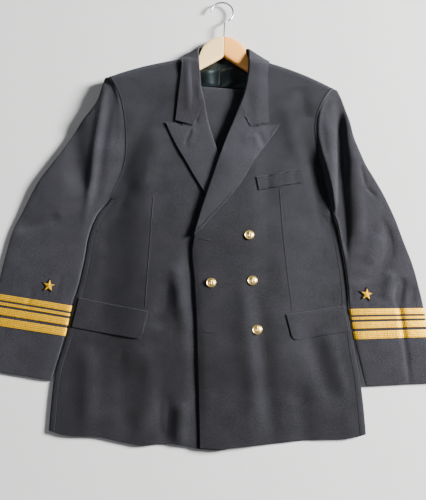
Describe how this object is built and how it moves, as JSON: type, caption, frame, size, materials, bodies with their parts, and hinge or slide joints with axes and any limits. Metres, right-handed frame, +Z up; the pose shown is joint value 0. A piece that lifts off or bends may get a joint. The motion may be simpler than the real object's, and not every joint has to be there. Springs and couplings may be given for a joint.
{
  "type": "naval officer's suit on a hanger",
  "caption": "Double-breasted naval officer's jacket with gold cuff lace, laid flat on its back on a wooden hanger, with the trousers folded over the hanger's bar.",
  "frame": {"origin": "centre of the suit's box, on the surface that it lies on", "axes": "+Z up from the surface, +Y from the hem towards the collar and the hook, +X towards the wearer's left sleeve"},
  "size_m": [0.8274, 0.8923, 0.0367],
  "materials": {
    "wool": "matt worsted wool, charcoal black",
    "lining": "satin, dark bottle green",
    "gold_lace": "ribbed metallic lace",
    "gilt": "polished gilt",
    "beech": "satin varnish",
    "steel": "bright plated"
  },
  "bodies": {
    "root": {"front_left": "wool", "front_right": "wool", "side_left": "wool", "side_right": "wool", "back_left": "wool", "back_right": "wool", "lapel_left": "wool", "lapel_right": "wool", "collar": "wool", "top_sleeve_left": "wool", "top_sleeve_right": "wool", "under_sleeve_left": "wool", "under_sleeve_right": "wool", "flap_left": "wool", "flap_right": "wool", "breast_welt": "wool", "star_backing_left": "wool", "star_backing_right": "wool", "trousers_leg": "wool", "trousers_fold": "wool", "back_lining": "lining", "lace_left_1": "gold_lace", "lace_left_2": "gold_lace", "lace_left_3": "gold_lace", "lace_left_4": "gold_lace", "star_left": "gold_lace", "lace_right_1": "gold_lace", "lace_right_2": "gold_lace", "lace_right_3": "gold_lace", "lace_right_4": "gold_lace", "star_right": "gold_lace", "button_upper": "gilt", "button_middle": "gilt", "button_lower": "gilt", "button_right": "gilt", "hanger_left": "beech", "hanger_right": "beech", "trouser_bar": "beech", "hook": "steel"}
  },
  "joints": []
}
